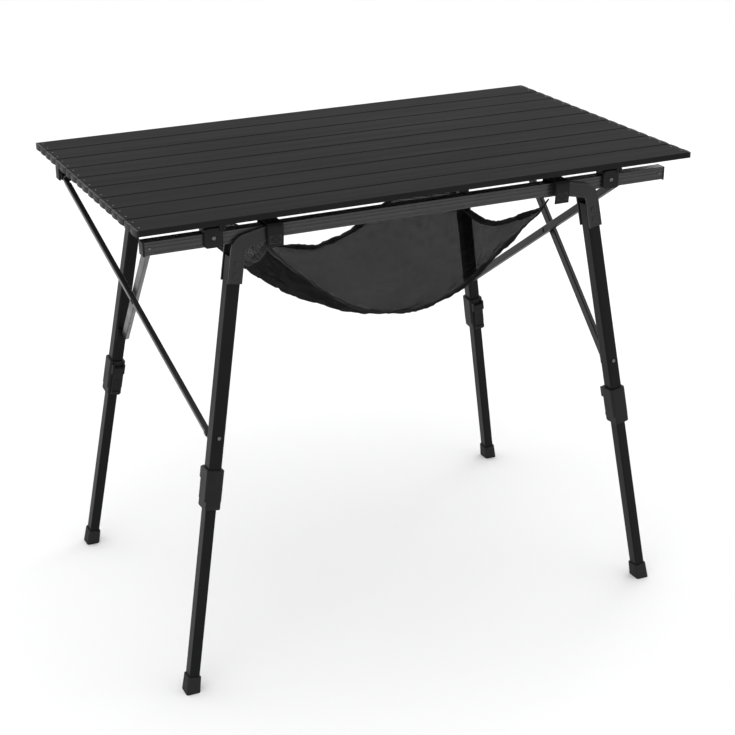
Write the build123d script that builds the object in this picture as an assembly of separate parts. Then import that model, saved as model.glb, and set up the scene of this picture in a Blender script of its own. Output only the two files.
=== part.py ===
from build123d import *
import os
from math import atan2, cos, degrees, radians, sin, sqrt

# Folding camp kitchen table: a roll-up slatted top on two rails, four splayed
# telescopic legs on knee brackets under the rails, crossed braces at both ends and
# a mesh basket slung between the rails. Origin: on the ground under the middle
# of the top. +X runs along the top, +Z up, -Y is the front.

# ---------------------------------------------------------------- driving sizes
TOP_LENGTH = 900.0
TOP_HEIGHT = 735.0
SLAT_COUNT = 9
SLAT_WIDTH = 54.6
SLAT_GAP = 2.6
SLAT_THICKNESS = 9.0
SLAT_WALL = 1.2
SLAT_EDGE_RADIUS = 0.9
CAP_OVERHANG = 5.0
CAP_LOBE = 2.0
CAP_PLUG = 14.0

RAIL_LENGTH = 852.0
RAIL_DEPTH = 18.0
RAIL_HEIGHT = 20.0
RAIL_WALL = 1.6
RAIL_SPACING = 419.0
RAIL_DROP = 21.0
RAIL_GROOVES = ((3.2, 2.4), (8.1, 3.6), (14.2, 4.6))  # from the top edge, width
GROOVE_DEPTH = 0.9
PLUG_FLANGE = 3.0
PLUG_DEPTH = 12.0

PIVOT_X = 236.0
FOOT_X = 406.0
FOOT_Y = 260.0
LEAN_X = 0.169
LEG_TRAVEL = 245.0

KNEE_PLATE = 2.5
KNEE_ARM_WIDTH = 22.0
KNEE_GAP = 24.0
KNEE_BOTTOM = 68.0
KNEE_RIM = 2.2
KNEE_RECESS = 0.6
ARM_SLOPE = 0.20
KNEE_RADIUS = 17.0
PIN_RADIUS = 3.0
PIN_HEAD_RADIUS = 6.0
PIN_HEAD = 1.5
PIN_END_PLAY = 0.8
RIVET_RADIUS = 2.5
RIVET_HEAD_RADIUS = 4.0
RIVET_HEAD = 1.4
KNEE_RIVETS = (40.5, 56.5)

TUBE_WIDTH = 20.0
TUBE_RADIUS = 4.0
TUBE_WALL = 1.5
TUBE_TOP = 31.0
TUBE_END = 395.0
LOWER_WALL = 1.2
LOWER_TOP = 350.0

SLEEVE_TOP = 348.0
SLEEVE_END = 410.0
SLEEVE_WALL = 3.5
SLEEVE_COLLAR = 5.0
SLEEVE_TAIL = 13.0
LEVER_WIDTH = 15.4
LEVER_PIVOT = 360.5
LEVER_END = 407.0
LEVER_CAM = 3.4
LEVER_THICKNESS = 5.0
LEVER_PIN_RADIUS = 1.5
EAR_THICKNESS = 3.0

FOOT_WALL = 2.2
FOOT_HEIGHT = 26.0
FOOT_FLARE = 1.0

BRACE_WIDTH = 13.0
BRACE_THICKNESS = 8.0
BRACE_PLANE_GAP = 1.2
BRACE_PIVOT_INSET = {-1: 9.0, 1: 44.0}  # from the rail's end, by table end
BRACE_PIVOT_OUT = 9.0
BRACE_PIVOT_Z = -5.0  # below the rail's middle line
BRACE_BOSS = (18.0, 17.0)
BRACE_EYE_RADIUS = 6.5
BRACE_EYE = 8.0
BRACE_EYE_REACH = 12.0
BRACE_ON_LEG = 299.4
BRACE_PAD = 2.0

FOLDED_SPACING = 140.0
FOLDED_SLOPE = 0.05
DRIFT = {-1: 0.0715, 1: -0.096}  # sideways lean of a folded leg, by table end

CLIP_FROM_LEG = 38.0  # from the tube's line at pivot height
CLIP_WIDTH = 28.0
CLIP_HEIGHT = 29.0
CLIP_THICKNESS = 5.0
KNOB_RADIUS = 5.4
KNOB_LENGTH = 7.0
KNOB_OFFSET = 13.0
KNOB_SHANK_RADIUS = 2.2

STRAP_WIDTH = 25.0
STRAP_THICKNESS = 1.8
STRAP_HANG = 22.0
STRAP_CLEAR = 1.2

BASKET_THICKNESS = 3.0
BASKET_CORNER_DROP = 32.0
BASKET_LONG_SAG = 160.0
BASKET_SHORT_SAG = 94.0
BASKET_BELLY = 196.0
BASKET_EDGE_GAP = 0.5

FIT = 0.1
SLIDE_FIT = 0.3
RUNNING_FIT = 0.08
SEAT_GAP = 0.3

# -------------------------------------------------------------- derived places
SLAT_PITCH = SLAT_WIDTH + SLAT_GAP
TOP_WIDTH = SLAT_COUNT * SLAT_PITCH - SLAT_GAP
SLAT_BOTTOM = TOP_HEIGHT - SLAT_THICKNESS
SLAT_BODY = TOP_LENGTH - 2 * CAP_OVERHANG
RAIL_Y = RAIL_SPACING / 2
RAIL_TOP = SLAT_BOTTOM - RAIL_DROP
RAIL_Z = RAIL_TOP - RAIL_HEIGHT / 2
RAIL_END = RAIL_LENGTH / 2
LEAN_Y = (FOOT_Y - RAIL_Y) / RAIL_Z
LEG_LENGTH = RAIL_Z * sqrt(1 + LEAN_X**2 + LEAN_Y**2)
TUBE_DEPTH = KNEE_GAP
KNEE_HALF = KNEE_GAP / 2 + KNEE_PLATE
LEG_OFFSET = FOOT_X - LEAN_X * RAIL_Z - PIVOT_X
CLIP_X = PIVOT_X + LEG_OFFSET + CLIP_FROM_LEG
LEG_LEAN = atan2(LEAN_X, sqrt(1 + LEAN_Y**2))
LOWER_WIDTH = TUBE_WIDTH - 2 * TUBE_WALL - 2 * SLIDE_FIT
LOWER_DEPTH = TUBE_DEPTH - 2 * TUBE_WALL - 2 * SLIDE_FIT
LOWER_RADIUS = TUBE_RADIUS - TUBE_WALL
SLEEVE_WIDTH = TUBE_WIDTH + 2 * SLEEVE_WALL
SLEEVE_DEPTH = TUBE_DEPTH + 2 * SLEEVE_WALL
LEVER_PIN_OUT = SLEEVE_DEPTH / 2 + LEVER_CAM + SLIDE_FIT
BRACE_AT_LEG = TUBE_DEPTH / 2 + BRACE_PAD + BRACE_PLANE_GAP + BRACE_WIDTH / 2
SLIDE_TRAVEL = RAIL_SPACING - FOLDED_SPACING
STRAP_INSIDE = KNEE_HALF + PIN_END_PLAY + PIN_HEAD + STRAP_CLEAR
ENDS = {-1: "left", 1: "right"}
SIDES = {-1: "front", 1: "rear"}

os.makedirs("parts", exist_ok=True)


def save(name, *solids):
    """Write the solids of one node to its STEP file."""
    shape = solids[0] if len(solids) == 1 else Compound(children=list(solids))
    export_step(shape, "parts/" + name + ".step")


def solid_of(shape):
    """The single solid inside a built shape."""
    return shape.solids()[0]


def rod(start, direction, radius, length):
    """A cylinder from a point along a direction."""
    return solid_of(Plane(origin=start, z_dir=direction) * Cylinder(
        radius, length, align=(Align.CENTER, Align.CENTER, Align.MIN)))


def rounded_bar(width, depth, length, radius):
    """A bar of rounded rectangular section, standing on the origin along +Z."""
    return extrude(RectangleRounded(width, depth, radius), length)


def tube(width, depth, length, radius, wall):
    """A rounded rectangular tube, standing on the origin along +Z."""
    core = rounded_bar(width - 2 * wall, depth - 2 * wall, length, max(radius - wall, 0.5))
    return rounded_bar(width, depth, length, radius) - core


# ------------------------------------------------------------- folding geometry
class Fold:
    """The turn that takes one frame of directions to another: a fixed axis and an angle."""

    def __init__(self, before, after):
        x, y, z = (
            sum((now * was.dot(unit) for was, now in zip(before, after)), Vector())
            for unit in (Vector(1, 0, 0), Vector(0, 1, 0), Vector(0, 0, 1))
        )
        skew = Vector(y.Z - z.Y, z.X - x.Z, x.Y - y.X)
        trace = x.X + y.Y + z.Z
        self.angle = atan2(skew.length, trace - 1)
        self.axis = skew.normalized()


def leg_fold(end, side):
    """The hinge turn of one leg, from standing to lying under its rail."""
    standing = Vector(end * LEAN_X, side * LEAN_Y, -1).normalized()
    lying = Vector(-end, -side * DRIFT[end], -FOLDED_SLOPE).normalized()
    axis = standing.cross(lying).normalized()
    return Fold((standing, axis, standing.cross(axis)), (lying, axis, lying.cross(axis)))


def turned(vector, axis, angle):
    """A vector turned about an axis through the origin."""
    along = axis * axis.dot(vector)
    return along + (vector - along) * cos(angle) + axis.cross(vector) * sin(angle)


def leg_plane(end, side):
    """The frame of one leg: at its pivot, +X outboard, +Z up in the leg's own plane."""
    return Plane(
        origin=(end * PIVOT_X, side * RAIL_Y, RAIL_Z),
        x_dir=(end, 0, 0),
        z_dir=(0, -side * LEAN_Y, 1),
    )


def tube_frame(end, side):
    """The frame of one leg's tubes: level with the pivot, +Z up along the tube."""
    return leg_plane(end, side).location * Pos(LEG_OFFSET, 0, 0) * Rot(0, -degrees(LEG_LEAN), 0)


def outward(axis, side):
    """An axis taken in the sense that points from the middle of the table to a rail."""
    return axis if axis.Y * side > 0 else -axis


def inner_sign(end, side):
    """Which way local +Y must be taken to face the middle of the table."""
    return -end * side


def brace_foot(end, side):
    """Where a brace meets the leg of one corner."""
    place = tube_frame(end, side) * Pos(0, inner_sign(end, side) * BRACE_AT_LEG, -BRACE_ON_LEG)
    return Vector(*place.position)


def brace_head(end, side):
    """Where a brace hangs from the rail end of one corner."""
    inside = RAIL_Y - RAIL_DEPTH / 2 - BRACE_PIVOT_OUT
    return Vector(end * (RAIL_END - BRACE_PIVOT_INSET[end]), side * inside, RAIL_Z + BRACE_PIVOT_Z)


def brace_frame(direction):
    """A brace's directions: along it, out of its flat face, and across it."""
    across_rails = Vector(0, 1, 0)
    face = direction.cross(across_rails).normalized()
    return direction, face, direction.cross(face)


def brace_fold(end, side):
    """The hinge turn of the brace that hangs from one rail end: it lands beside the leg it braces."""
    head = brace_head(end, side)
    foot = brace_foot(end, -side)
    length = (foot - head).length
    pivot = Vector(*leg_plane(end, -side).location.position)
    fold = leg_fold(end, -side)
    landed = pivot + turned(foot - pivot, fold.axis, fold.angle)
    aside = abs(head.Y) + abs(landed.Y) - SLIDE_TRAVEL
    drop = landed.Z - head.Z
    reach = sqrt(length**2 - aside**2 - drop**2)
    lying = Vector(-end * reach, -side * aside, drop) / length
    return Fold(brace_frame((foot - head) / length), brace_frame(lying))


# ------------------------------------------------------------------- slatted top
def slat_section():
    """A slat's hollow section, seen from the end."""
    skin = Rectangle(SLAT_WIDTH, SLAT_THICKNESS)
    skin = fillet(skin.vertices(), SLAT_EDGE_RADIUS)
    cell_width = (SLAT_WIDTH - 3 * SLAT_WALL) / 2
    cell = Rectangle(cell_width, SLAT_THICKNESS - 2 * SLAT_WALL)
    shift = (cell_width + SLAT_WALL) / 2
    return skin - Pos(-shift, 0) * cell - Pos(shift, 0) * cell


def slat():
    """One aluminium slat, over the middle of the table."""
    start = (-SLAT_BODY / 2, 0, TOP_HEIGHT - SLAT_THICKNESS / 2)
    plane = Plane(origin=start, x_dir=(0, 1, 0), z_dir=(1, 0, 0))
    return solid_of(extrude(plane * slat_section(), SLAT_BODY))


def slat_cap(end):
    """A plastic end cap with two scallops and two tongues that plug into the slat."""
    flat = CAP_OVERHANG - CAP_LOBE
    half = SLAT_WIDTH / 2
    outline = Polyline((flat, 0), (flat, -half), (0, -half), (0, half), (flat, half), (flat, 0))
    plan = make_face(outline)
    for lobe in (-1, 1):
        arc = ThreePointArc((flat, lobe * half), (CAP_OVERHANG, lobe * half / 2), (flat, 0))
        plan += make_face(arc + Line((flat, 0), (flat, lobe * half)))
    shell = extrude(plan, SLAT_THICKNESS)
    rims = shell.faces().sort_by(Axis.Z)[-1].edges() + shell.faces().sort_by(Axis.Z)[0].edges()
    shell = fillet(rims, SLAT_EDGE_RADIUS * 0.6)
    tongue = Box(
        CAP_PLUG,
        (SLAT_WIDTH - 3 * SLAT_WALL) / 2 - 2 * FIT,
        SLAT_THICKNESS - 2 * SLAT_WALL - 2 * FIT,
        align=(Align.MAX, Align.CENTER, Align.CENTER),
    )
    shift = (SLAT_WIDTH - SLAT_WALL) / 4
    for lobe in (-1, 1):
        shell += Pos(0.5, lobe * shift, SLAT_THICKNESS / 2) * tongue
    turn = Rot(0, 0, 0) if end > 0 else Rot(0, 0, 180)
    return solid_of(Pos(end * SLAT_BODY / 2, 0, SLAT_BOTTOM) * turn * shell)


def slat_y(index):
    """The middle of a slat, counted from the front."""
    return -TOP_WIDTH / 2 + SLAT_WIDTH / 2 + index * SLAT_PITCH


def build_top():
    body = slat()
    caps = [slat_cap(end) for end in ENDS]
    for index in range(SLAT_COUNT):
        place = Pos(0, slat_y(index), 0)
        save(f"slat_{index + 1}", place * body)
        save(f"slat_caps_{index + 1}", *[place * cap for cap in caps])


# ------------------------------------------------------------------------- rails
def rail_section():
    """A rail's section with its grooved outer face towards +X."""
    skin = Rectangle(RAIL_DEPTH, RAIL_HEIGHT)
    skin = fillet(skin.vertices(), 0.8)
    for down, width in RAIL_GROOVES:
        groove = Rectangle(2 * GROOVE_DEPTH, width)
        skin -= Pos(RAIL_DEPTH / 2, RAIL_HEIGHT / 2 - down) * groove
    wall = RAIL_WALL + GROOVE_DEPTH
    return skin - Rectangle(RAIL_DEPTH - 2 * wall, RAIL_HEIGHT - 2 * RAIL_WALL)


def rail(side):
    """One grooved rail, bored for the leg pivots."""
    start = (-side * RAIL_LENGTH / 2, side * RAIL_Y, RAIL_Z)
    plane = Plane(origin=start, x_dir=(0, side, 0), z_dir=(side, 0, 0))
    body = extrude(plane * rail_section(), RAIL_LENGTH)
    for end in ENDS:
        pivot = Vector(end * PIVOT_X, side * RAIL_Y, RAIL_Z)
        axis = leg_fold(end, side).axis
        body -= rod(pivot - axis * RAIL_DEPTH, axis, PIN_RADIUS + RUNNING_FIT, 2 * RAIL_DEPTH)
    return solid_of(body)


def rail_plug(end, side):
    """A plastic rail end: a flange and a tongue in the rail."""
    wall = RAIL_WALL + GROOVE_DEPTH
    flange = Box(PLUG_FLANGE, RAIL_DEPTH, RAIL_HEIGHT + 1, align=(Align.MIN, Align.CENTER, Align.MIN))
    flange = fillet(flange.faces().sort_by(Axis.X)[-1].edges(), 1.2)
    tongue = Box(
        PLUG_DEPTH,
        RAIL_DEPTH - 2 * wall - 2 * FIT,
        RAIL_HEIGHT - 2 * RAIL_WALL - 2 * FIT,
        align=(Align.MAX, Align.CENTER, Align.CENTER),
    )
    body = Pos(0, 0, -RAIL_HEIGHT / 2 - 1) * flange + Pos(0.5, 0, 0) * tongue
    turn = Rot(0, 0, 0) if end > 0 else Rot(0, 0, 180)
    return solid_of(Pos(end * RAIL_END, side * RAIL_Y, RAIL_Z) * turn * body)


def brace_boss(end, side):
    """The boss on a rail's inner face that carries a brace's pin, faced square to the pin."""
    axis = outward(brace_fold(end, side).axis, side)
    head = brace_head(end, side)
    inside = side * (RAIL_Y - RAIL_DEPTH / 2)
    width, height = BRACE_BOSS
    low_side = min(inside, head.Y)
    body = Pos(head.X, low_side, RAIL_Z) * Box(
        width, abs(inside - head.Y), height, align=(Align.CENTER, Align.MIN, Align.CENTER))
    seat = BRACE_EYE / 2 + SLIDE_FIT
    return solid_of(body - rod(head + axis * (seat - 40), axis, 40, 40))


def brace_pin(end, side):
    """The headed pin that a brace turns on, with its far end in the boss and the rail."""
    head = brace_head(end, side)
    axis = outward(brace_fold(end, side).axis, side)
    half = BRACE_EYE / 2 + SLIDE_FIT
    shank = rod(head - axis * half, axis, PIN_RADIUS, 2 * half + 3)
    return solid_of(shank + rod(head - axis * (half + PIN_HEAD), axis, PIN_HEAD_RADIUS, PIN_HEAD))


def build_rails():
    for side, side_name in SIDES.items():
        bar = rail(side)
        save(f"{side_name}_rail", bar)
        pieces = []
        for end in ENDS:
            pin = brace_pin(end, side)
            pieces += [rail_plug(end, side), solid_of(brace_boss(end, side) - pin), pin]
        save(f"{side_name}_rail_plugs", *pieces)


# --------------------------------------------------------- clips that hold the top
def clip_frame(end, side):
    """A clip's frame: on the rail top, +Y out of the table, +X to the left seen from outside."""
    return Plane(
        origin=(end * CLIP_X, side * RAIL_Y, RAIL_TOP),
        x_dir=(side, 0, 0),
        z_dir=(0, 0, 1),
    ).location


def clip_block(side):
    """A clip: a plate on the rail's outer face and the pad that carries the slats."""
    gap = 0.0 if side < 0 else SEAT_GAP
    pad_height = RAIL_DROP - gap
    outer = RAIL_DEPTH / 2
    pad = Box(CLIP_WIDTH, RAIL_DEPTH, pad_height, align=(Align.CENTER, Align.CENTER, Align.MIN))
    pad = fillet(pad.edges().filter_by(Axis.Z), 2.0)
    plate = Pos(0, outer, 8) * Box(
        CLIP_WIDTH, CLIP_THICKNESS, CLIP_HEIGHT, align=(Align.CENTER, Align.MIN, Align.MAX))
    plate = fillet(plate.edges().filter_by(Axis.Y), 5.0)
    plate = fillet(plate.faces().sort_by(Axis.Y)[-1].edges(), 1.0)
    body = pad + plate
    knob_hole = Pos(-KNOB_OFFSET, 0, KNOB_RADIUS + 2.6) * Rot(90, 0, 0) * Cylinder(
        KNOB_SHANK_RADIUS + RUNNING_FIT, 4 * RAIL_DEPTH)
    relief = Pos(-KNOB_OFFSET, outer - SLIDE_FIT, KNOB_RADIUS + 2.6) * Rot(-90, 0, 0) * Cylinder(
        KNOB_RADIUS + 0.6, 3 * CLIP_THICKNESS, align=(Align.CENTER, Align.CENTER, Align.MIN))
    screw_hole = Pos(0, outer, 8 - CLIP_HEIGHT / 2) * Rot(-90, 0, 0) * Cylinder(
        3.2, CLIP_THICKNESS, align=(Align.CENTER, Align.CENTER, Align.MIN))
    return body - knob_hole - relief - screw_hole


def clip_screw():
    """The cross-slotted screw in the middle of a clip."""
    screw = Pos(0, RAIL_DEPTH / 2, 8 - CLIP_HEIGHT / 2) * Rot(-90, 0, 0) * Cylinder(
        3.1, CLIP_THICKNESS - 0.4, align=(Align.CENTER, Align.CENTER, Align.MIN))
    slot = Pos(0, RAIL_DEPTH / 2 + CLIP_THICKNESS - 0.4, 8 - CLIP_HEIGHT / 2)
    return screw - slot * Box(4.4, 1.6, 0.9) - slot * Box(0.9, 1.6, 4.4)


def knob_place(end, side):
    """A knob's axis point on the outer face of its clip."""
    return clip_frame(end, side) * Pos(-KNOB_OFFSET, RAIL_DEPTH / 2, KNOB_RADIUS + 2.6)


def latch_knob():
    """A ribbed turn knob with the shank and the thumb that grips the slats, along +Y."""
    grip = Cylinder(KNOB_RADIUS, KNOB_LENGTH, align=(Align.CENTER, Align.CENTER, Align.MIN))
    grip = fillet(grip.edges().sort_by(Axis.Z)[-1], 1.2)
    for step in range(8):
        grip -= Rot(0, 0, 45 * step) * Pos(KNOB_RADIUS + 0.5, 0, 0) * Cylinder(0.9, 4 * KNOB_LENGTH)
    slot = Pos(0, 0, KNOB_LENGTH) * Box(1.2, 2 * KNOB_RADIUS - 3, 1.6)
    shank = Pos(0, 0, 1) * Cylinder(
        KNOB_SHANK_RADIUS, RAIL_DEPTH + 4, align=(Align.CENTER, Align.CENTER, Align.MAX))
    thumb = Pos(0, -KNOB_SHANK_RADIUS, -RAIL_DEPTH - 3) * Box(
        7.0, 8.0, 2.0, align=(Align.CENTER, Align.MIN, Align.MIN))
    return Rot(-90, 0, 0) * (grip - slot + shank + thumb)


def build_clips():
    for side, side_name in SIDES.items():
        pieces = []
        for end, end_name in ENDS.items():
            frame = clip_frame(end, side)
            pieces += [solid_of(frame * clip_block(side)), solid_of(frame * clip_screw())]
            save(f"latch_knob_{side_name}_{end_name}", solid_of(knob_place(end, side) * latch_knob()))
        save(f"{side_name}_clips", *pieces)


# -------------------------------------------------------------------------- legs
def knee_line():
    """The middle line of a knee bracket in its own plane: X outboard, Y up."""
    slant = LEAN_X / sqrt(1 + LEAN_Y**2)
    bend_x = LEG_OFFSET / (1 - slant * ARM_SLOPE)
    bend = (bend_x, -ARM_SLOPE * bend_x)
    return FilletPolyline((0, 0), bend, (LEG_OFFSET + slant * KNEE_BOTTOM, -KNEE_BOTTOM), radius=KNEE_RADIUS)


def knee_face(inset):
    """The outline of a knee plate, pulled in by an inset."""
    face = trace(knee_line(), line_width=KNEE_ARM_WIDTH - 2 * inset)
    face = face + Circle(KNEE_ARM_WIDTH / 2 - inset)
    return face


def knee_plate(outward):
    """One pressed plate of a knee bracket, with a raised rim if it is on the outside."""
    flat = Plane.XZ * knee_face(0)
    plate = extrude(flat, -KNEE_PLATE)
    recess = extrude(Plane.XZ * knee_face(KNEE_RIM), -KNEE_RECESS)
    if outward > 0:
        plate = Pos(0, KNEE_GAP / 2, 0) * plate - Pos(0, KNEE_HALF - KNEE_RECESS, 0) * recess
    else:
        plate = Pos(0, -KNEE_HALF, 0) * plate - Pos(0, -KNEE_HALF, 0) * recess
    return plate


def knee_rivet_spots():
    """Where the two rivets go through the knee plates and the tube, in the leg's plane."""
    return [Pos(LEG_OFFSET, 0, 0) * Rot(0, -degrees(LEG_LEAN), 0) * Pos(0, 0, -down) for down in KNEE_RIVETS]


def knee_rivet():
    """A domed rivet through both knee plates."""
    half = KNEE_HALF - KNEE_RECESS
    shank = Rot(90, 0, 0) * Cylinder(RIVET_RADIUS, 2 * half)
    for face in (-1, 1):
        head = Pos(0, face * half, 0) * Rot(-90 * face, 0, 0) * Cylinder(
            RIVET_HEAD_RADIUS, RIVET_HEAD, align=(Align.CENTER, Align.CENTER, Align.MIN))
        shank += fillet(head.edges().sort_by(Axis.Y)[-1 if face > 0 else 0], 0.6)
    return shank


def leg_pin(end, side):
    """The pivot pin of one leg, riding in the rail's bore."""
    axis = leg_fold(end, side).axis
    pivot = Vector(end * PIVOT_X, side * RAIL_Y, RAIL_Z)
    half = KNEE_HALF + PIN_END_PLAY
    pin = rod(pivot - axis * half, axis, PIN_RADIUS, 2 * half)
    pin += rod(pivot - axis * (half + PIN_HEAD), axis, PIN_HEAD_RADIUS, PIN_HEAD)
    return solid_of(pin + rod(pivot + axis * half, axis, PIN_HEAD_RADIUS, PIN_HEAD))


def knee_pieces(end, side):
    """The two plates, the two rivets and the pivot pin of one knee."""
    frame = leg_plane(end, side).location
    rivets = [frame * spot * knee_rivet() for spot in knee_rivet_spots()]
    pin = leg_pin(end, side)
    axis = leg_fold(end, side).axis
    bore = rod(pin.center() - axis * 2 * KNEE_HALF, axis, PIN_RADIUS + FIT, 4 * KNEE_HALF)
    plates = [frame * knee_plate(face) - bore for face in (-1, 1)]
    for rivet in rivets:
        plates = [plate - rivet for plate in plates]
    return [solid_of(piece) for piece in plates + rivets] + [pin]


def upper_leg(end, side):
    """The upper tube of one leg, cut for the knee rivets, with its brace pad and plug."""
    frame = tube_frame(end, side)
    length = TUBE_END - TUBE_TOP
    body = Pos(0, 0, -TUBE_END) * tube(TUBE_WIDTH, TUBE_DEPTH, length, TUBE_RADIUS, TUBE_WALL)
    for down in KNEE_RIVETS:
        body -= Pos(0, 0, -down) * Rot(90, 0, 0) * Cylinder(RIVET_RADIUS + FIT, 2 * TUBE_DEPTH)
    inner = inner_sign(end, side)
    pad = Box(TUBE_WIDTH - 4, BRACE_PAD, 22)
    pad = fillet(pad.edges().filter_by(Axis.Y), 3.0)
    body += Pos(0, inner * (TUBE_DEPTH + BRACE_PAD) / 2, -BRACE_ON_LEG) * pad
    button = Cylinder(4.2, 1.2, align=(Align.CENTER, Align.CENTER, Align.MIN))
    button = fillet(button.edges().sort_by(Axis.Z)[-1], 0.5) - Pos(0, 0, 1.2) * Cylinder(2.2, 1.2)
    body += Pos(0, -inner * TUBE_DEPTH / 2, -BRACE_ON_LEG) * Rot(90 * inner, 0, 0) * button
    return solid_of(frame * body)


def sleeve_pieces(end, side):
    """The lock sleeve under the upper tube, with the ears and the pin of its lever."""
    inner = inner_sign(end, side)
    length = SLEEVE_END - SLEEVE_TOP
    body = Pos(0, 0, -SLEEVE_END) * rounded_bar(SLEEVE_WIDTH, SLEEVE_DEPTH, length, TUBE_RADIUS + 1)
    body = fillet(body.faces().sort_by(Axis.Z)[-1].edges(), 1.5)
    body = chamfer(body.faces().sort_by(Axis.Z)[0].edges(), 1.5)
    for face in (-1, 1):
        notch = Box(SLEEVE_WALL, 2 * SLEEVE_DEPTH, SLEEVE_TAIL, align=(Align.CENTER, Align.CENTER, Align.MIN))
        body -= Pos(face * SLEEVE_WIDTH / 2, 0, -SLEEVE_END) * notch
    ear = Box(EAR_THICKNESS, LEVER_CAM + SLIDE_FIT + 3, 17, align=(Align.CENTER, Align.MIN, Align.CENTER))
    if inner < 0:
        ear = mirror(ear, Plane.XZ)
    for face in (-1, 1):
        shift = face * (LEVER_WIDTH / 2 + SLIDE_FIT + EAR_THICKNESS / 2)
        body += Pos(shift, inner * (SLEEVE_DEPTH / 2 - 0.5), -LEVER_PIVOT) * ear
    body -= Pos(0, 0, -TUBE_END) * rounded_bar(
        TUBE_WIDTH + 2 * FIT, TUBE_DEPTH + 2 * FIT, TUBE_END, TUBE_RADIUS + FIT)
    body -= Pos(0, 0, -2 * SLEEVE_END) * rounded_bar(
        LOWER_WIDTH + 2 * SLIDE_FIT, LOWER_DEPTH + 2 * SLIDE_FIT, 2 * SLEEVE_END, LOWER_RADIUS + SLIDE_FIT)
    pin_line = Pos(0, inner * LEVER_PIN_OUT, -LEVER_PIVOT) * Rot(0, 90, 0)
    pin = pin_line * Cylinder(LEVER_PIN_RADIUS, LEVER_WIDTH + 2 * (SLIDE_FIT + EAR_THICKNESS))
    frame = tube_frame(end, side)
    return [solid_of(frame * (body - pin)), solid_of(frame * pin)]


def lever(end, side):
    """A flip lever that lies flat on the sleeve, with its thumb lip below."""
    inner = inner_sign(end, side)
    base = SLEEVE_DEPTH / 2 + SLIDE_FIT
    section = Pos(base, -LEVER_END) * Rectangle(
        LEVER_THICKNESS, LEVER_END - LEVER_PIVOT, align=(Align.MIN, Align.MIN))
    section += Pos(LEVER_PIN_OUT, -LEVER_PIVOT) * Circle(LEVER_CAM)
    lip = Pos(base + LEVER_THICKNESS - 0.5, -LEVER_END) * Rectangle(2.5, 6, align=(Align.MIN, Align.MIN))
    section += lip
    section -= Pos(LEVER_PIN_OUT, -LEVER_PIVOT) * Circle(LEVER_PIN_RADIUS + RUNNING_FIT)
    body = extrude(Plane.YZ * section, LEVER_WIDTH / 2, both=True)
    body = fillet(body.edges().filter_by(Axis.Y).group_by(Axis.Z)[0], 3.0)
    for step in range(4):
        rib = Pos(0, base + LEVER_THICKNESS, -LEVER_END + 12 + 5 * step)
        body -= rib * Box(LEVER_WIDTH - 5, 1.0, 1.8)
    if inner < 0:
        body = mirror(body, Plane.XZ)
    return solid_of(tube_frame(end, side) * body)


def lower_leg(end, side):
    """The lower tube of one leg, down to just above the sole of its foot."""
    length = LEG_LENGTH - 5 - LOWER_TOP
    body = tube(LOWER_WIDTH, LOWER_DEPTH, length, LOWER_RADIUS, LOWER_WALL)
    return solid_of(tube_frame(end, side) * Pos(0, 0, -LOWER_TOP - length) * body)


def foot(end, side):
    """A rubber foot over the lower tube, with a flat sole on the ground."""
    width = LOWER_WIDTH + 2 * FOOT_WALL
    depth = LOWER_DEPTH + 2 * FOOT_WALL
    top = LEG_LENGTH - FOOT_HEIGHT
    body = loft([
        Pos(0, 0, -top) * RectangleRounded(width, depth, 4),
        Pos(0, 0, -LEG_LENGTH - 10) * RectangleRounded(width + 2 * FOOT_FLARE, depth + 2 * FOOT_FLARE, 4),
    ])
    body = fillet(body.faces().sort_by(Axis.Z)[-1].edges(), 1.0)
    body -= Pos(0, 0, -LEG_LENGTH + 5) * rounded_bar(
        LOWER_WIDTH + 2 * FIT, LOWER_DEPTH + 2 * FIT, LEG_LENGTH, LOWER_RADIUS + FIT)
    placed = tube_frame(end, side) * body
    return solid_of(placed & Pos(placed.center().X, placed.center().Y, 0) * Box(
        200, 200, 200, align=(Align.CENTER, Align.CENTER, Align.MIN)))


def build_legs():
    for side, side_name in SIDES.items():
        for end, end_name in ENDS.items():
            corner = f"{side_name}_{end_name}"
            save(f"knee_bracket_{corner}", *knee_pieces(end, side))
            save(f"upper_leg_{corner}", upper_leg(end, side))
            save(f"lock_sleeve_{corner}", *sleeve_pieces(end, side))
            save(f"lock_lever_{corner}", lever(end, side))
            save(f"lower_leg_{corner}", lower_leg(end, side))
            save(f"foot_{corner}", foot(end, side))


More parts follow.
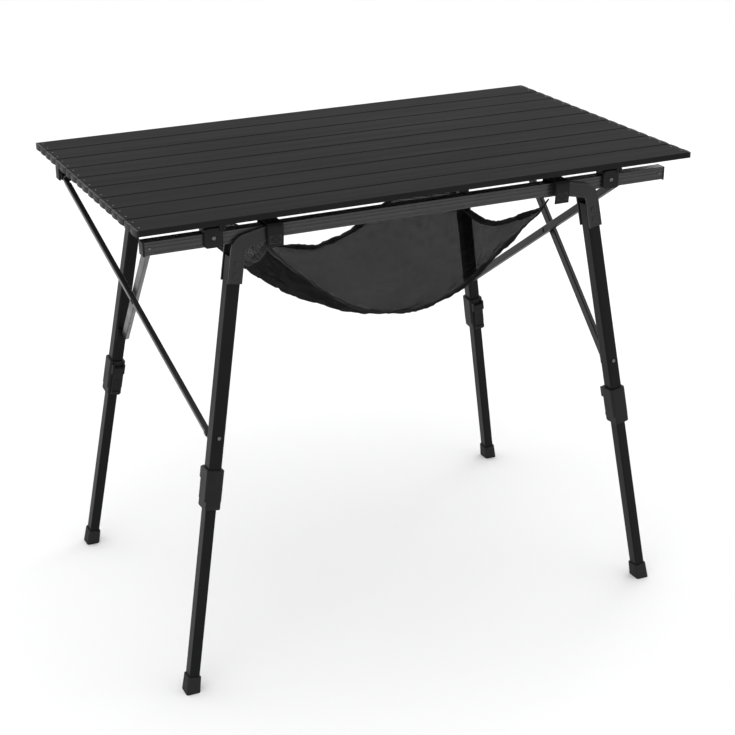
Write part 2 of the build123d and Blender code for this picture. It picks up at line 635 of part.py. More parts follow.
# ------------------------------------------------------------------------ braces
def brace(end, side):
    """The flat brace from one rail end to the opposite leg, with an eye at the top."""
    head = brace_head(end, side)
    foot_point = brace_foot(end, -side)
    direction, face, across = brace_frame((foot_point - head).normalized())
    length = (foot_point - head).length
    offset = side * end * (BRACE_THICKNESS + BRACE_PLANE_GAP) / 2
    along = Plane(origin=head + face * offset, x_dir=across, z_dir=direction)
    bar = extrude(along * Pos(0, 0, 2) * RectangleRounded(BRACE_WIDTH, BRACE_THICKNESS, 1.6), length - 2)
    flat = Plane(origin=foot_point + face * offset, z_dir=face)
    bar += extrude(flat * Circle(BRACE_WIDTH / 2), BRACE_THICKNESS / 2, both=True)
    axis = outward(brace_fold(end, side).axis, side)
    bar += rod(head - axis * BRACE_EYE / 2, axis, BRACE_EYE_RADIUS, BRACE_EYE)
    bar -= rod(head - axis * (BRACE_EYE / 2 + BRACE_WIDTH), axis, BRACE_EYE_REACH, BRACE_WIDTH)
    bar -= rod(head + axis * BRACE_EYE / 2, axis, BRACE_EYE_REACH, BRACE_WIDTH)
    bar -= rod(head - axis * BRACE_WIDTH, axis, PIN_RADIUS + RUNNING_FIT, 2 * BRACE_WIDTH)
    out = face * side * end
    crossing = head + direction * (length * RAIL_Y / (RAIL_Y + abs(foot_point.Y)))
    rivets = []
    for spot in (crossing, foot_point):
        skin = spot + face * offset + out * BRACE_THICKNESS / 2
        rivets.append(rod(skin, out, RIVET_HEAD_RADIUS, RIVET_HEAD))
    return [solid_of(bar)] + rivets


def build_braces():
    for side, side_name in SIDES.items():
        for end, end_name in ENDS.items():
            save(f"brace_{side_name}_{end_name}", *brace(end, side))


# ------------------------------------------------------------- basket and straps
def strap(end, side):
    """A webbing strap over a rail and its knee arm, open below."""
    top = STRAP_THICKNESS + STRAP_CLEAR + 1
    height = top + RAIL_HEIGHT / 2 + STRAP_HANG
    width = 2 * (STRAP_INSIDE + STRAP_THICKNESS)
    outer = Box(STRAP_WIDTH, width, height, align=(Align.CENTER, Align.CENTER, Align.MAX))
    outer = fillet(outer.edges().filter_by(Axis.X).group_by(Axis.Z)[-1], 4.0)
    inner = Box(STRAP_WIDTH + 1, 2 * STRAP_INSIDE, height, align=(Align.CENTER, Align.CENTER, Align.MAX))
    inner = fillet(inner.edges().filter_by(Axis.X).group_by(Axis.Z)[-1], 3.0)
    body = outer - Pos(0, 0, -STRAP_THICKNESS) * inner
    return solid_of(Pos(end * PIVOT_X, side * RAIL_Y, RAIL_TOP + top) * body)


def basket_height(x, y):
    """The height of the slung basket's cloth: deepest in the middle, highest at its corners."""
    corner = RAIL_TOP - BASKET_CORNER_DROP
    middle = corner - BASKET_BELLY
    along = corner - BASKET_LONG_SAG - middle
    across = corner - BASKET_SHORT_SAG - middle
    u, v = x * x, y * y
    return middle + across * u + along * v + (BASKET_BELLY - along - across) * u * v


def basket():
    """The mesh basket as one thick curved sheet."""
    half_x = PIVOT_X + STRAP_WIDTH / 2 - 4
    half_y = RAIL_Y - STRAP_INSIDE - STRAP_THICKNESS - BASKET_EDGE_GAP
    steps = 8
    grid = [
        [
            (half_x * (2 * i / steps - 1), half_y * (2 * j / steps - 1),
             basket_height(2 * i / steps - 1, 2 * j / steps - 1))
            for j in range(steps + 1)
        ]
        for i in range(steps + 1)
    ]
    sheet = Face.make_surface_from_array_of_points([[Vector(*p) for p in row] for row in grid])
    return solid_of(thicken(sheet, BASKET_THICKNESS))


def build_basket():
    save("mesh_basket", basket())
    for side, side_name in SIDES.items():
        save(f"{side_name}_straps", *[strap(end, side) for end in ENDS])


build_top()
build_rails()
build_clips()
build_legs()
build_braces()
build_basket()
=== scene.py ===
import bmesh
import bpy
import math
from mathutils import Matrix, Vector

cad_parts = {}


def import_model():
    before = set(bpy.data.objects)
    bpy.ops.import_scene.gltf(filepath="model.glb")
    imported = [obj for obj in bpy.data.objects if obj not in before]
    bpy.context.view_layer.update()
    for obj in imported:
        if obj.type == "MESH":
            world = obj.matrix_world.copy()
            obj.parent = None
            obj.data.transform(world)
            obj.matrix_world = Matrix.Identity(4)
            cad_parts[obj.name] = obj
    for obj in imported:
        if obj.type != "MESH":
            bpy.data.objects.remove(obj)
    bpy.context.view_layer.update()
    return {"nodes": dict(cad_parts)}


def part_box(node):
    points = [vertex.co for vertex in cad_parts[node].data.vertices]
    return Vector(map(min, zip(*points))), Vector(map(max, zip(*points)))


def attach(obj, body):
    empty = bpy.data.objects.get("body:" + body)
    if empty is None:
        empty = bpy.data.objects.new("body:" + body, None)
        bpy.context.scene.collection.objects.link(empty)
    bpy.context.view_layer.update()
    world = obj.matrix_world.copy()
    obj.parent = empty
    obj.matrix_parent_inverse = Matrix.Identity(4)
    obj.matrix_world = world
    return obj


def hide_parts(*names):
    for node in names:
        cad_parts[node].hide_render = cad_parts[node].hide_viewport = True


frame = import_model()

# A folding roll-top camp table. The slats, rails, legs and braces are the CAD's own
# meshes with finished materials; the mesh basket and its straps are made here.

MM = 0.001
SIGN = {"left": -1, "right": 1, "front": -1, "rear": 1}
FRAME = "frame"
SUNK = 0.1 * MM  # how far a rivet head's rim sits in its face


# ------------------------------------------------------------------ material nodes
class Shader:
    """A Principled material with helpers to add and join nodes."""

    def __init__(self, name, color, roughness, metallic=0.0, specular=0.5):
        self.material = bpy.data.materials.new(name)
        self.material.use_nodes = True
        self.tree = self.material.node_tree
        self.out = self.tree.nodes["Material Output"]
        self.surface = self.tree.nodes["Principled BSDF"]
        self.color = color
        self.surface.inputs["Base Color"].default_value = (*color, 1)
        self.surface.inputs["Roughness"].default_value = roughness
        self.surface.inputs["Metallic"].default_value = metallic
        self.surface.inputs["Specular IOR Level"].default_value = specular

    def node(self, kind, **settings):
        node = self.tree.nodes.new(kind)
        for key, value in settings.items():
            setattr(node, key, value)
        return node

    def join(self, source, target):
        self.tree.links.new(source, target)

    def place(self, scale, source="Object"):
        """Coordinates stretched by a scale for each axis."""
        mapping = self.node("ShaderNodeMapping")
        mapping.inputs["Scale"].default_value = scale
        self.join(self.node("ShaderNodeTexCoord").outputs[source], mapping.inputs["Vector"])
        return mapping.outputs["Vector"]

    def noise(self, scale, stretch=(1, 1, 1), detail=3.0, source="Object"):
        noise = self.node("ShaderNodeTexNoise")
        noise.inputs["Scale"].default_value = scale
        noise.inputs["Detail"].default_value = detail
        self.join(self.place(stretch, source), noise.inputs["Vector"])
        return noise.outputs["Fac"]

    def math(self, operation, first, second):
        node = self.node("ShaderNodeMath", operation=operation)
        for socket, value in zip(node.inputs, (first, second)):
            if isinstance(value, (int, float)):
                socket.default_value = value
            else:
                self.join(value, socket)
        return node.outputs[0]

    def ramp(self, factor, low, high, start=0.35, end=0.65):
        """A colour or grey that goes from low to high as a factor goes from start to end."""
        ramp = self.node("ShaderNodeValToRGB")
        for element, position, value in zip(ramp.color_ramp.elements, (start, end), (low, high)):
            element.position = position
            element.color = (*value, 1) if hasattr(value, "__len__") else (value, value, value, 1)
        self.join(factor, ramp.inputs["Fac"])
        return ramp.outputs["Color"]

    def mottle(self, factor, spread):
        """The base colour varies by a share of itself."""
        low = [c * (1 - spread) for c in self.color]
        high = [c * (1 + spread) for c in self.color]
        self.join(self.ramp(factor, low, high), self.surface.inputs["Base Color"])

    def vary_roughness(self, factor, low, high):
        self.join(self.ramp(factor, low, high), self.surface.inputs["Roughness"])

    def bump(self, heights, distance, strength=1.0):
        """Bump from a list of heights, each added to the last."""
        total = heights[0]
        for height in heights[1:]:
            total = self.math("ADD", total, height)
        bump = self.node("ShaderNodeBump")
        bump.inputs["Distance"].default_value = distance
        bump.inputs["Strength"].default_value = strength
        self.join(total, bump.inputs["Height"])
        self.join(bump.outputs["Normal"], self.surface.inputs["Normal"])


def painted_edge_highlight(shader, color, highlight_strength):
    """Painted highlight: sharp edges lightened in noisy patches, standing in for the light they catch."""
    bevel = shader.node("ShaderNodeBevel", samples=4)
    bevel.inputs["Radius"].default_value = 0.8 * MM
    aligned = shader.node("ShaderNodeVectorMath", operation="DOT_PRODUCT")
    shader.join(bevel.outputs["Normal"], aligned.inputs[0])
    shader.join(shader.node("ShaderNodeNewGeometry").outputs["Normal"], aligned.inputs[1])
    edge = shader.ramp(aligned.outputs["Value"], 1.0, 0.0, 0.82, 0.99)
    patches = shader.ramp(shader.noise(90, detail=5.0), 0.35, 1.0, 0.40, 0.62)
    edge_highlight_mask = shader.math("MULTIPLY", shader.math("MULTIPLY", edge, patches), highlight_strength)
    mix = shader.node("ShaderNodeMix", data_type="RGBA")
    target = shader.surface.inputs["Base Color"]
    if target.links:
        shader.join(target.links[0].from_socket, mix.inputs["A"])
    else:
        mix.inputs["A"].default_value = target.default_value
    mix.inputs["B"].default_value = (*color, 1)
    shader.join(edge_highlight_mask, mix.inputs["Factor"])
    shader.join(mix.outputs["Result"], target)


def anodised(name, color, grain, roughness, specular):
    """Black anodised extrusion: fine lines along it and a faint patchiness."""
    shader = Shader(name, color, roughness, specular=specular)
    lines = shader.noise(60, grain, 2.0)
    patches = shader.noise(9, detail=4.0)
    shader.mottle(patches, 0.09)
    along = shader.math("MULTIPLY", lines, 0.6)
    spots = shader.math("MULTIPLY", patches, 0.4)
    shader.vary_roughness(shader.math("ADD", along, spots), roughness - 0.04, roughness + 0.05)
    shader.bump([lines, shader.math("MULTIPLY", shader.noise(900, detail=2.0), 0.5)], 0.00005, 0.4)
    # painted highlight on the extrusion's sharp edges
    painted_edge_highlight(shader, [c * 7 for c in color], 0.6)
    return shader.material


def powder_coat(name, color):
    """Fine-textured powder coat on steel."""
    shader = Shader(name, color, 0.32, specular=0.30)
    grit = shader.noise(1300, detail=3.0)
    patches = shader.noise(14, detail=4.0)
    shader.mottle(patches, 0.2)
    shader.vary_roughness(patches, 0.28, 0.38)
    shader.bump([grit], 0.00010, 0.45)
    # painted highlight on the powder coat's sharp edges
    painted_edge_highlight(shader, [c * 9 for c in color], 0.8)
    return shader.material


def moulded(name, color, roughness, grit_scale=1600):
    """Spark-textured black nylon."""
    shader = Shader(name, color, roughness, specular=0.12)
    grit = shader.noise(grit_scale, detail=2.0)
    patches = shader.noise(22, detail=3.0)
    shader.mottle(patches, 0.18)
    shader.vary_roughness(patches, roughness - 0.06, roughness + 0.08)
    shader.bump([grit, shader.math("MULTIPLY", patches, 0.3)], 0.00012, 0.5)
    return shader.material


def rubber(name, color):
    shader = Shader(name, color, 0.72, specular=0.22)
    dust = shader.noise(160, detail=5.0)
    shader.mottle(dust, 0.3)
    shader.vary_roughness(dust, 0.62, 0.84)
    shader.bump([dust, shader.noise(1100, detail=2.0)], 0.00012, 0.6)
    return shader.material


def plated(name, color, roughness):
    """A dark plated screw or rivet."""
    shader = Shader(name, color, roughness, metallic=0.8)
    spin = shader.noise(500, detail=3.0)
    shader.mottle(spin, 0.25)
    shader.vary_roughness(spin, roughness - 0.08, roughness + 0.1)
    shader.bump([spin], 0.00006, 0.4)
    return shader.material


def open_mesh(name, color, hole, pitch):
    """Knitted mesh: slanted rows of round holes between soft yarns, from the cloth's own cut."""
    shader = Shader(name, color, 0.75, specular=0.02)
    split = shader.node("ShaderNodeSeparateXYZ")
    shader.join(shader.node("ShaderNodeTexCoord").outputs["UV"], split.inputs["Vector"])
    turn = 2 * math.pi / pitch
    rising = shader.math("ADD", split.outputs["X"], split.outputs["Y"])
    falling = shader.math("SUBTRACT", split.outputs["X"], split.outputs["Y"])
    first = shader.math("COSINE", shader.math("MULTIPLY", rising, turn), 0)
    second = shader.math("COSINE", shader.math("MULTIPLY", falling, turn), 0)
    lattice = shader.math("MULTIPLY", shader.math("ADD", first, second), 0.5)
    solid = shader.ramp(lattice, 1.0, 0.0, hole, hole + 0.1)
    yarn = shader.noise(1500, detail=2.0)
    shader.mottle(shader.noise(30, detail=4.0), 0.3)
    shader.bump([lattice, shader.math("MULTIPLY", yarn, 0.4)], 0.0004, 0.5)
    shader.join(solid, shader.surface.inputs["Alpha"])
    return shader.material


def webbing(name, color, rib_pitch, along):
    """Woven tape: ribs across the piece's own length, from its UVs."""
    shader = Shader(name, color, 0.7, specular=0.14)
    split = shader.node("ShaderNodeSeparateXYZ")
    shader.join(shader.node("ShaderNodeTexCoord").outputs["UV"], split.inputs["Vector"])
    turn = 2 * math.pi / rib_pitch
    warp = shader.math("SINE", shader.math("MULTIPLY", split.outputs["Y"], turn), 0)
    weft = shader.math("SINE", shader.math("MULTIPLY", split.outputs["X"], turn * along), 0)
    weave = shader.math("MULTIPLY", warp, weft)
    lift = shader.math("ADD", shader.math("MULTIPLY", weave, 0.5), 0.5)
    # painted shade in the weave's dips and painted highlight on its ridges, following the weave height
    shader.join(shader.ramp(lift, [c * 0.6 for c in color], [c * 1.6 for c in color], 0.2, 0.9),
                shader.surface.inputs["Base Color"])
    shader.bump([lift, shader.math("MULTIPLY", shader.noise(1400, detail=2.0), 0.4)], 0.0003, 0.6)
    return shader.material


def thread(name, color):
    shader = Shader(name, color, 0.6)
    twist = shader.noise(2500, (1, 1, 1), 1.0)
    shader.mottle(twist, 0.35)
    shader.bump([twist], 0.0001, 0.6)
    return shader.material


SLAT = anodised("slat_finish", (0.0135, 0.0128, 0.0134), (0.05, 1, 1), 0.44, 0.010)
RAIL = anodised("rail_finish", (0.0200, 0.0200, 0.0205), (0.05, 1, 1), 0.28, 0.45)
TUBE = anodised("tube_finish", (0.0065, 0.0065, 0.0066), (1, 1, 0.06), 0.34, 0.08)
STEEL = powder_coat("steel_finish", (0.0095, 0.0095, 0.0100))
BRACE = powder_coat("brace_finish", (0.0100, 0.0100, 0.0104))
NYLON = moulded("nylon", (0.0110, 0.0110, 0.0113), 0.46)
CAP = moulded("cap_nylon", (0.0125, 0.0125, 0.0128), 0.42)
KNOB = moulded("knob_nylon", (0.0095, 0.0095, 0.0098), 0.36)
FOOT = rubber("foot_rubber", (0.0100, 0.0100, 0.0100))
RIVET = plated("rivet_finish", (0.12, 0.12, 0.125), 0.30)
NET = open_mesh("mesh_cloth", (0.0055, 0.0055, 0.0057), 0.84, 2.4 * MM)
TAPE = webbing("edge_tape", (0.0085, 0.0085, 0.0088), 1.3 * MM, 1.0)
STRAP = webbing("strap_webbing", (0.0090, 0.0090, 0.0093), 1.6 * MM, 0.5)
THREAD = thread("sewing_thread", (0.024, 0.024, 0.026))


def finish_of(node):
    """The material of a CAD node, by its name."""
    if node.startswith("slat_caps"):
        return CAP
    if node.startswith("slat"):
        return SLAT
    if node.endswith("_rail"):
        return RAIL
    if node.startswith(("upper_leg", "lower_leg")):
        return TUBE
    if node.startswith("knee"):
        return STEEL
    if node.startswith("brace"):
        return BRACE
    if node.startswith("foot"):
        return FOOT
    if node.startswith("latch_knob"):
        return KNOB
    return NYLON


for name, obj in frame["nodes"].items():
    for slot in obj.material_slots:
        slot.material = finish_of(name)


# ------------------------------------------------------------------------ mesh work
def make(name, mesh_maker, material, body, smooth=True):
    """A mesh object from a bmesh filled by a function, riding on a body."""
    work = bmesh.new()
    mesh_maker(work)
    bmesh.ops.recalc_face_normals(work, faces=work.faces)
    mesh = bpy.data.meshes.new(name)
    work.to_mesh(mesh)
    work.free()
    for face in mesh.polygons:
        face.use_smooth = smooth
    obj = bpy.data.objects.new(name, mesh)
    bpy.context.scene.collection.objects.link(obj)
    mesh.materials.append(material)
    if body:
        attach(obj, body)
    return obj


def dome(work, center, normal, radius, height, segments=20):
    """A low rivet head: a rim, a shoulder and a crown."""
    normal = Vector(normal).normalized()
    side = normal.orthogonal().normalized()
    other = normal.cross(side)
    profile = [(1.0, 0.0), (0.97, 0.45), (0.80, 0.80), (0.5, 0.96), (0.2, 1.0)]
    rings = []
    for out, up in profile:
        ring = []
        for step in range(segments):
            turn = 2 * math.pi * step / segments
            spoke = side * math.cos(turn) + other * math.sin(turn)
            ring.append(work.verts.new(Vector(center) + spoke * radius * out + normal * height * up))
        rings.append(ring)
    for lower, upper in zip(rings, rings[1:]):
        for step in range(segments):
            following = (step + 1) % segments
            work.faces.new((lower[step], lower[following], upper[following], upper[step]))
    work.faces.new(rings[-1])
    work.faces.new(list(reversed(rings[0])))


def slat_body(index):
    return FRAME if index == 1 else f"slat_{index}_body"


def slat_rivets(index):
    """The dots that pin the end caps: two to a slat end."""
    low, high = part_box(f"slat_{index}")
    width = high[1] - low[1]

    def fill(work):
        for x in (low[0] + 5 * MM, high[0] - 5 * MM):
            for share in (0.25, 0.75):
                center = (x, low[1] + width * share, high[2] - SUNK)
                dome(work, center, (0, 0, 1), 1.3 * MM, 0.45 * MM, 14)

    piece = make(f"slat_rivets_{index}", fill, RIVET, slat_body(index))


for index in range(1, 10):
    slat_rivets(index)


def rail_rivets(side):
    """The small rivets through a rail's outer face that hold its end plugs."""
    low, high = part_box(f"{side}_rail")
    out = SIGN[side]
    face = (low if out < 0 else high)[1] - out * 0.15 * MM

    def fill(work):
        for x in (low[0] + 7 * MM, high[0] - 7 * MM):
            dome(work, (x, face, (low[2] + high[2]) / 2), (0, out, 0), 1.9 * MM, 0.7 * MM, 18)

    piece = make(f"rail_rivets_{side}", fill, RIVET, FRAME)


for side in ("front", "rear"):
    rail_rivets(side)


def end_points(node, end):
    """The vertices of a CAD node on one half of the table."""
    return [v.co.copy() for v in frame["nodes"][node].data.vertices if v.co.x * SIGN[end] > 0]


def clip_screw(side, end):
    """The round-headed screw in the middle of a clip's plate."""
    out = SIGN[side]
    points = end_points(f"{side}_clips", end)
    face = max(p.y * out for p in points) * out
    plate = [p for p in points if abs(p.y - face) < 1.5 * MM]
    center = Vector((
        (min(p.x for p in plate) + max(p.x for p in plate)) / 2,
        face - out * SUNK,
        (min(p.z for p in plate) + max(p.z for p in plate)) / 2,
    ))

    def fill(work):
        dome(work, center, (0, out, 0), 3.2 * MM, 1.3 * MM, 24)

    piece = make(f"clip_screw_{side}_{end}", fill, RIVET, FRAME)


BRACE_SHARE = 0.737  # how far down the upper leg its brace is riveted


def leg_rivet(side, end):
    """The rivet head on a leg's outer face, opposite the foot of its brace."""
    node = frame["nodes"][f"upper_leg_{side}_{end}"]
    points = [v.co.copy() for v in node.data.vertices]
    top, foot = max(p.z for p in points), min(p.z for p in points)
    high = [p for p in points if p.z > top - 8 * MM]
    low = [p for p in points if p.z < foot + 8 * MM]
    upper = sum(high, Vector()) / len(high)
    lower = sum(low, Vector()) / len(low)
    along = (lower - upper).normalized()
    out = Vector((0, SIGN[side], 0))
    out = (out - along * out.dot(along)).normalized()
    half = max((p - lower).dot(out) for p in low if abs((p - lower).dot(along)) < 6 * MM)
    center = upper.lerp(lower, BRACE_SHARE) + out * (half - SUNK)

    def fill(work):
        dome(work, center, out, 3.6 * MM, 1.5 * MM, 24)

    piece = make(f"leg_rivet_{side}_{end}", fill, RIVET, FRAME)


for side in ("front", "rear"):
    for end in ("left", "right"):
        clip_screw(side, end)
        leg_rivet(side, end)


# --------------------------------------------------------------------------- basket
ROWS, COLUMNS = 88, 68
CUT_X, CUT_Y = 0.586, 0.440
HOLLOW_X, HOLLOW_Y = 0.12, 0.15
basket_low, basket_high = (Vector(v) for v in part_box("mesh_basket"))
half_x, half_y = basket_high.x - 8 * MM, basket_high.y + 1 * MM
BELLY = 0.478
HUNG_AT = basket_high.z - 4 * MM


def slung(u, v):
    """The slung shape at -1..1 along and across the table."""
    uu, vv = u * u, v * v
    drop = HUNG_AT - BELLY
    return BELLY + drop * (0.53 * uu + 0.18 * vv + 0.29 * uu * vv)


def slung_sheet():
    """The basket's cloth: starts near its slung shape, then hangs from its corners under its own weight."""
    verts, flat = [], []
    for i in range(ROWS + 1):
        for j in range(COLUMNS + 1):
            u, v = 2 * i / ROWS - 1, 2 * j / COLUMNS - 1
            verts.append(Vector((half_x * u, half_y * v, slung(u, v))))
            flat.append(Vector((
                CUT_X / 2 * u * (1 - HOLLOW_X * (1 - v * v)),
                CUT_Y / 2 * v * (1 - HOLLOW_Y * (1 - u * u)),
                BELLY,
            )))
    across = COLUMNS + 1
    faces = [
        (i * across + j, (i + 1) * across + j, (i + 1) * across + j + 1, i * across + j + 1)
        for i in range(ROWS) for j in range(COLUMNS)
    ]
    mesh = bpy.data.meshes.new("mesh_basket_cloth")
    mesh.from_pydata(verts, [], faces)
    layer = mesh.uv_layers.new(name="cut")
    for loop in mesh.loops:
        layer.data[loop.index].uv = flat[loop.vertex_index].xy
    obj = bpy.data.objects.new("mesh_basket_cloth", mesh)
    bpy.context.scene.collection.objects.link(obj)
    return obj, flat


def corner_pull(point):
    """How firmly a point of the cut is held: only the sewn corners are."""
    reach = (Vector((abs(point.x), abs(point.y))) - Vector((CUT_X / 2, CUT_Y / 2))).length
    return max(0.0, min(1.0, (26 * MM - reach) / (6 * MM)))


def hang(obj, flat, frames):
    """Cloth simulation from the slung shape, with the flat cut as its rest shape."""
    obj.shape_key_add(name="slung")
    rest = obj.shape_key_add(name="cut_flat")
    for point, place in zip(rest.data, flat):
        point.co = place
    rest.value = 0
    held = obj.vertex_groups.new(name="held")
    for vertex_index, point in enumerate(flat):
        pull = corner_pull(point)
        if pull > 0:
            held.add([vertex_index], pull, "REPLACE")
    cloth = obj.modifiers.new("cloth", "CLOTH")
    settings = cloth.settings
    settings.quality = 7
    settings.mass = 0.00012
    settings.tension_stiffness = 22
    settings.compression_stiffness = 12
    settings.shear_stiffness = 4
    settings.bending_stiffness = 0.02
    settings.tension_damping = 12
    settings.compression_damping = 12
    settings.shear_damping = 8
    settings.bending_damping = 1.0
    settings.air_damping = 2.5
    settings.vertex_group_mass = "held"
    settings.rest_shape_key = rest
    cloth.point_cache.frame_start = 1
    cloth.point_cache.frame_end = frames
    for now in range(1, frames + 1):
        bpy.context.scene.frame_set(now)
    graph = bpy.context.evaluated_depsgraph_get()
    settled = bpy.data.meshes.new_from_object(obj.evaluated_get(graph))
    obj.modifiers.clear()
    obj.shape_key_clear()
    for vertex, hung in zip(obj.data.vertices, settled.vertices):
        vertex.co = hung.co
    bpy.data.meshes.remove(settled)
    bpy.context.scene.frame_set(1)


def edge_rows():
    """The cloth's four edges, as lists of vertex numbers, with the row next inside each."""
    across = COLUMNS + 1
    front = [(i * across, i * across + 1) for i in range(ROWS + 1)]
    rear = [(i * across + COLUMNS, i * across + COLUMNS - 1) for i in range(ROWS + 1)]
    left = [(j, j + across) for j in range(across)]
    right = [(ROWS * across + j, (ROWS - 1) * across + j) for j in range(across)]
    return {"front": front, "rear": rear, "left": left, "right": right}


def tape_along(points, inward, lift, width, thickness):
    """Mesh maker for a folded tape over an edge: a flat band that wraps the cloth's rim."""

    def fill(work):
        layer = work.loops.layers.uv.new("weave")
        rings, run = [], 0.0
        outline = [(-0.8 * MM, 0.0), (0.0, 1.0), (0.3, 1.15), (1.0, 1.0)]
        outline += [(out, -up) for out, up in reversed(outline[1:])]
        for index, point in enumerate(points):
            if index:
                run += (point - points[index - 1]).length
            ring = []
            for out, up in outline:
                shift = inward[index] * (out if out < 0 else out * width)
                ring.append((work.verts.new(point + shift + lift[index] * up * thickness / 2), run))
            rings.append(ring)
        for first, second in zip(rings, rings[1:]):
            for step in range(len(outline)):
                after = (step + 1) % len(outline)
                face = work.faces.new((first[step][0], second[step][0], second[after][0], first[after][0]))
                across = step / len(outline) * 2 * width
                spots = ((first[step][1], across), (second[step][1], across),
                         (second[after][1], across + width / 3), (first[after][1], across + width / 3))
                for loop, spot in zip(face.loops, spots):
                    loop[layer].uv = spot
        work.faces.new([v for v, _ in reversed(rings[0])])
        work.faces.new([v for v, _ in rings[-1]])

    return fill


def stitches_along(points, inward, lift, inset, above, length=3.0 * MM, gap=1.6 * MM):
    """Mesh maker for a row of short stitches set in from an edge."""

    def fill(work):
        run, due = 0.0, 0.0
        for index in range(1, len(points) - 1):
            step = points[index + 1] - points[index]
            run += step.length
            if run < due:
                continue
            due = run + length + gap
            along = step.normalized()
            for face in (-1, 1):
                center = points[index] + inward[index] * inset + lift[index] * above * face
                side = lift[index].cross(along).normalized() * 0.45 * MM
                rise = lift[index] * 0.35 * MM * face
                ends = [center - along * length / 2, center + along * length / 2]
                base = [ends[0] - side, ends[0] + side, ends[1] + side, ends[1] - side]
                low = [work.verts.new(p) for p in base]
                high = [work.verts.new(p.lerp(center, 0.25) + rise) for p in base]
                work.faces.new(high)
                for n in range(4):
                    work.faces.new((low[n], low[(n + 1) % 4], high[(n + 1) % 4], high[n]))

    return fill


def bind(cloth):
    """The tape and stitching on the cloth's four edges."""
    verts = [v.co.copy() for v in cloth.data.vertices]
    normals = [v.normal.copy() for v in cloth.data.vertices]
    pieces = []
    for name, pairs in edge_rows().items():
        points = [verts[a] for a, _ in pairs]
        inward = []
        for a, b in pairs:
            lift = normals[a]
            step = verts[b] - verts[a]
            inward.append((step - lift * step.dot(lift)).normalized())
        lift = [normals[a] for a, _ in pairs]
        band = make(f"basket_tape_{name}", tape_along(points, inward, lift, 11 * MM, 2.0 * MM), TAPE, None)
        stitches = stitches_along(points, inward, lift, 8.5 * MM, 1.0 * MM)
        seam = make(f"basket_seam_{name}", stitches, THREAD, None)
        pieces += [band, seam]
    return pieces


cloth, flat_cut = slung_sheet()
hang(cloth, flat_cut, 50)
cloth.data.materials.append(NET)
for face in cloth.data.polygons:
    face.use_smooth = True
bindings = bind(cloth)
BASKET_PIECES = [cloth] + bindings


# --------------------------------------------------------------------------- straps
def band_mesh(path, sides, width, thickness):
    """Mesh maker for a flat strap with rolled edges along a path, each point with its sideways direction."""

    def fill(work):
        layer = work.loops.layers.uv.new("weave")
        rings, run = [], 0.0
        for index, point in enumerate(path):
            before = path[max(index - 1, 0)]
            after = path[min(index + 1, len(path) - 1)]
            along = (after - before).normalized()
            side = sides[index].normalized()
            face = along.cross(side).normalized()
            if index:
                run += (point - before).length
            half, deep = width / 2, thickness / 2
            rolled = [(half * 0.8, deep), (half * 0.95, deep * 0.8)]
            upper = [(-s, f) for s, f in reversed(rolled)] + rolled
            lower = [(-s, -f) for s, f in upper]
            outline = [(-half, 0.0)] + upper + [(half, 0.0)] + lower
            rings.append([(work.verts.new(point + side * s + face * f), s, run) for s, f in outline])
        for first, second in zip(rings, rings[1:]):
            for step in range(len(first)):
                after = (step + 1) % len(first)
                corners = (first[step], second[step], second[after], first[after])
                quad = work.faces.new([c[0] for c in corners])
                for loop, corner in zip(quad.loops, corners):
                    loop[layer].uv = (corner[1], corner[2])
        work.faces.new([c[0] for c in reversed(rings[0])])
        work.faces.new([c[0] for c in rings[-1]])

    return fill


def smooth_path(points, steps):
    """A Catmull-Rom line through points."""
    ends = [points[0] * 2 - points[1]] + points + [points[-1] * 2 - points[-2]]
    line = []
    for a, b, c, d in zip(ends, ends[1:], ends[2:], ends[3:]):
        for step in range(steps):
            t = step / steps
            line.append(0.5 * (2 * b + (c - a) * t + (2 * a - 5 * b + 4 * c - d) * t * t
                               + (3 * b - a - 3 * c + d) * t ** 3))
    return line + [points[-1]]


def strap_path(side, end):
    """From the cloth's corner, up inside the rail, over it and down its outer face."""
    sign = SIGN[side]
    node = frame["nodes"][f"{side}_straps"]
    xs = [v.co for v in node.data.vertices if v.co.x * SIGN[end] > 0]
    low = Vector((min(v.x for v in xs), min(v.y for v in xs), min(v.z for v in xs)))
    high = Vector((max(v.x for v in xs), max(v.y for v in xs), max(v.z for v in xs)))
    middle = (low + high) / 2
    half = (high.y - low.y) / 2 - 0.9 * MM
    top = high.z - 0.9 * MM
    inner = middle.y - sign * half
    outer = middle.y + sign * half
    x = middle.x
    rounding = 5 * MM
    points = [
        Vector((x, inner, low.z + 1 * MM)),
        Vector((x, inner, low.z + 14 * MM)),
        Vector((x, inner, top - rounding)),
        Vector((x, inner + sign * rounding * 0.35, top - rounding * 0.3)),
        Vector((x, inner + sign * rounding, top)),
        Vector((x, outer - sign * rounding, top)),
        Vector((x, outer - sign * rounding * 0.35, top - rounding * 0.3)),
        Vector((x, outer, top - rounding)),
        Vector((x, outer + sign * 0.4 * MM, (low.z + top) / 2)),
        Vector((x, outer, low.z + 12 * MM)),
        Vector((x, outer - sign * 0.8 * MM, low.z + 1 * MM)),
    ]
    return points, (high.x - low.x)


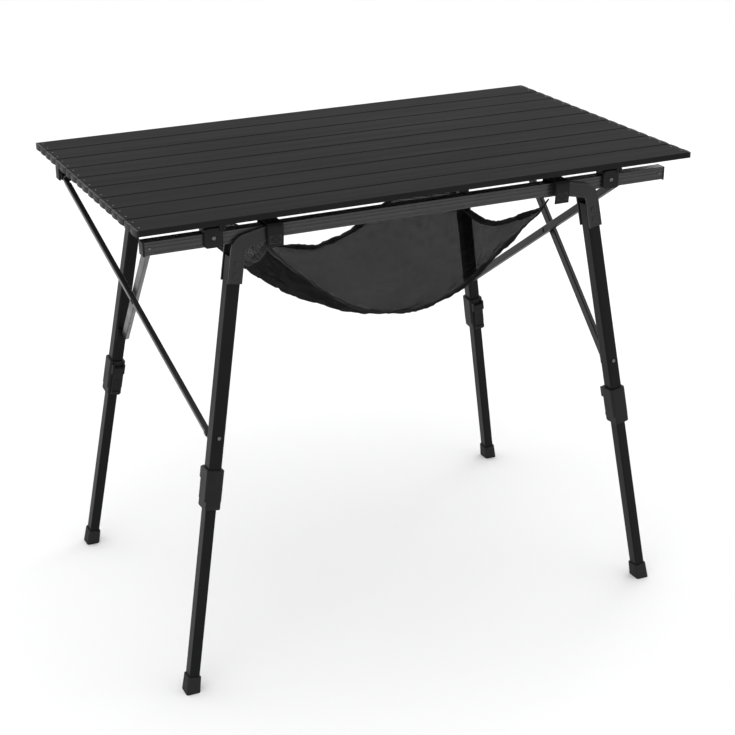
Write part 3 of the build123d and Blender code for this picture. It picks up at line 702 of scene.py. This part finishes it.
def box_stitch(center, along, side, face, length, width, pitch=3.6 * MM):
    """Mesh maker for a sewn rectangle with a cross in it."""
    corners = [center + along * a * length / 2 + side * b * width / 2
               for a, b in ((-1, -1), (1, -1), (1, 1), (-1, 1))]
    lines = [(corners[n], corners[(n + 1) % 4]) for n in range(4)]
    lines += [(corners[0], corners[2]), (corners[1], corners[3])]

    def fill(work):
        for start, stop in lines:
            step = stop - start
            count = max(2, int(step.length / pitch))
            direction = step.normalized()
            cross = face.cross(direction).normalized() * 0.42 * MM
            for number in range(count):
                middle = start + step * ((number + 0.5) / count)
                half = direction * pitch * 0.34
                start_end, stop_end = middle - half, middle + half
                base = [start_end - cross, start_end + cross, stop_end + cross, stop_end - cross]
                low = [work.verts.new(p) for p in base]
                high = [work.verts.new(p.lerp(middle, 0.2) + face * 0.45 * MM) for p in base]
                work.faces.new(high)
                for n in range(4):
                    work.faces.new((low[n], low[(n + 1) % 4], high[(n + 1) % 4], high[n]))

    return fill


for side in ("front", "rear"):
    first = None
    for end in ("left", "right"):
        points, width = strap_path(side, end)
        path = smooth_path(points, 5)
        across = [Vector((1, 0, 0))] * len(path)
        piece = make(f"strap_{side}_{end}", band_mesh(path, across, width, 1.8 * MM), STRAP, FRAME)
        out = Vector((0, SIGN[side], 0))
        center = path[-6] + out * 0.95 * MM
        stitches = box_stitch(center, Vector((0, 0, 1)), Vector((1, 0, 0)), out, 11 * MM, width * 0.66)
        sewn = make(f"strap_stitching_{side}_{end}", stitches, THREAD, FRAME)
        if first is None:
            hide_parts(f"{side}_straps")
            first = piece

for piece in BASKET_PIECES:
    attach(piece, FRAME)
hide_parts("mesh_basket")


# ----------------------------------------------------------------- floor and lights
def floor():
    bpy.ops.mesh.primitive_plane_add(size=30, location=(0, 0, -0.0005))
    plane = bpy.context.object
    plane.name = "floor"
    shader = Shader("floor_pale", (0.86, 0.86, 0.865), 0.75, specular=0.2)
    shader.mottle(shader.noise(0.6, detail=2.0), 0.01)
    plane.data.materials.append(shader.material)


def area_light(name, place, target, size, power):
    light = bpy.data.lights.new(name, "AREA")
    light.shape = "RECTANGLE"
    light.size, light.size_y = size
    light.energy = power
    obj = bpy.data.objects.new(name, light)
    obj.location = place
    obj.rotation_euler = (Vector(target) - Vector(place)).to_track_quat("-Z", "Y").to_euler()
    bpy.context.scene.collection.objects.link(obj)


def camera():
    """A long lens, a little above the table and in front of its left half."""
    yaw, pitch, roll = 0.42322, 0.40808, -0.01073
    lens = bpy.data.cameras.new("view")
    lens.sensor_width = 36
    lens.sensor_fit = "HORIZONTAL"
    lens.lens = 79.6487
    lens.shift_x, lens.shift_y = 0.049578, 0.025905
    lens.clip_end = 100
    obj = bpy.data.objects.new("view", lens)
    forward = Vector((math.sin(yaw) * math.cos(pitch), math.cos(yaw) * math.cos(pitch), -math.sin(pitch)))
    right = Vector((math.cos(yaw), -math.sin(yaw), 0))
    up = right.cross(forward)
    level_right, level_up = right.copy(), up.copy()
    right = level_right * math.cos(roll) + level_up * math.sin(roll)
    up = level_up * math.cos(roll) - level_right * math.sin(roll)
    matrix = Matrix((right, up, -forward)).transposed().to_4x4()
    matrix.translation = Vector((-1.06592, -2.25557, 1.40440))
    obj.matrix_world = matrix
    bpy.context.scene.collection.objects.link(obj)
    bpy.context.scene.camera = obj


def world():
    sky = bpy.data.worlds.new("studio")
    sky.use_nodes = True
    background = sky.node_tree.nodes["Background"]
    background.inputs["Color"].default_value = (1.0, 1.0, 1.0, 1)
    background.inputs["Strength"].default_value = 1.17
    bpy.context.scene.world = sky


floor()
area_light("key", (-1.6, -1.8, 3.2), (0, 0, 0.4), (2.2, 2.2), 16)
area_light("top", (0.4, 1.2, 3.4), (0, 0, 0.6), (3.5, 2.0), 10)
area_light("rim", (2.8, 1.5, 1.6), (0, 0, 0.5), (1.2, 2.2), 10)
camera()
world()
bpy.context.scene.view_settings.view_transform = "Standard"
